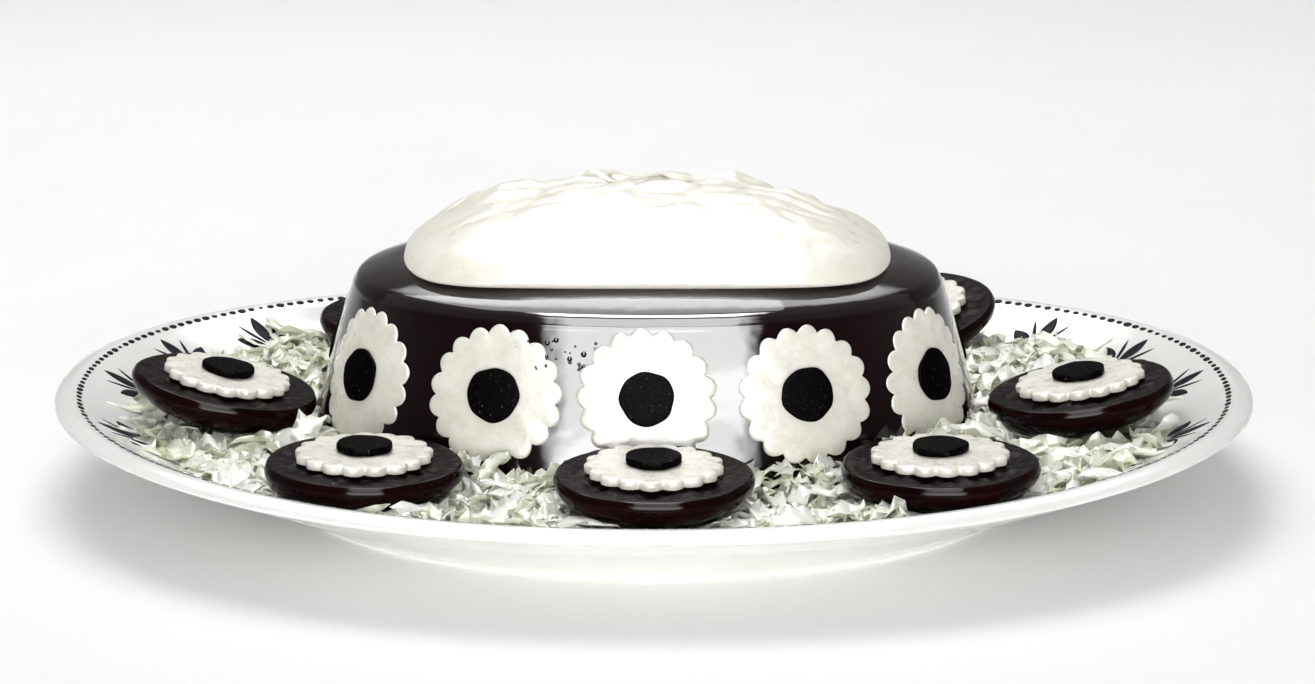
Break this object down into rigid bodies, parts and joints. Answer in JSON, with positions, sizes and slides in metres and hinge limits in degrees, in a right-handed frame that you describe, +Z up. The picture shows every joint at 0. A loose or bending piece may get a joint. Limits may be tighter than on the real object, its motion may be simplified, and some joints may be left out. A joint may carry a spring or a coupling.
{
  "type": "moulded jelly on a platter",
  "caption": "Oval moulded savoury jelly with fluted slices set round its wall and cream on top, on a platter with dressed tomato halves and shredded lettuce.",
  "frame": {"origin": "middle of the platter's foot, on the table", "axes": "+X along the platter's length, +Y away from the serving side, +Z up"},
  "size_m": [0.404, 0.3066, 0.1026],
  "materials": {
    "white_glaze": "glossy white glaze with a dark printed line",
    "garnet_jelly": "wet and glossy, nearly opaque",
    "mayonnaise": "soft sheen",
    "egg_white": "satin",
    "truffle": "moist",
    "tomato_skin": "glossy skin, moist cut face",
    "lettuce_leaf": "moist leaf"
  },
  "bodies": {
    "root": {"platter": "white_glaze", "jelly": "garnet_jelly", "cream": "mayonnaise", "lettuce": "lettuce_leaf", "wall_slice_1": "egg_white", "wall_round_1": "truffle", "wall_slice_2": "egg_white", "wall_round_2": "truffle", "wall_slice_3": "egg_white", "wall_round_3": "truffle", "wall_slice_4": "egg_white", "wall_round_4": "truffle", "wall_slice_5": "egg_white", "wall_round_5": "truffle", "wall_slice_6": "egg_white", "wall_round_6": "truffle", "wall_slice_7": "egg_white", "wall_round_7": "truffle", "wall_slice_8": "egg_white", "wall_round_8": "truffle", "wall_slice_9": "egg_white", "wall_round_9": "truffle", "wall_slice_10": "egg_white", "wall_round_10": "truffle", "wall_slice_11": "egg_white", "wall_round_11": "truffle", "tomato_half_1": "tomato_skin", "tomato_slice_1": "egg_white", "tomato_round_1": "truffle", "tomato_half_2": "tomato_skin", "tomato_slice_2": "egg_white", "tomato_round_2": "truffle", "tomato_half_3": "tomato_skin", "tomato_slice_3": "egg_white", "tomato_round_3": "truffle", "tomato_half_4": "tomato_skin", "tomato_slice_4": "egg_white", "tomato_round_4": "truffle", "tomato_half_5": "tomato_skin", "tomato_slice_5": "egg_white", "tomato_round_5": "truffle", "tomato_half_6": "tomato_skin", "tomato_slice_6": "egg_white", "tomato_round_6": "truffle", "tomato_half_7": "tomato_skin", "tomato_slice_7": "egg_white", "tomato_round_7": "truffle", "tomato_half_8": "tomato_skin", "tomato_slice_8": "egg_white", "tomato_round_8": "truffle"}
  },
  "joints": []
}
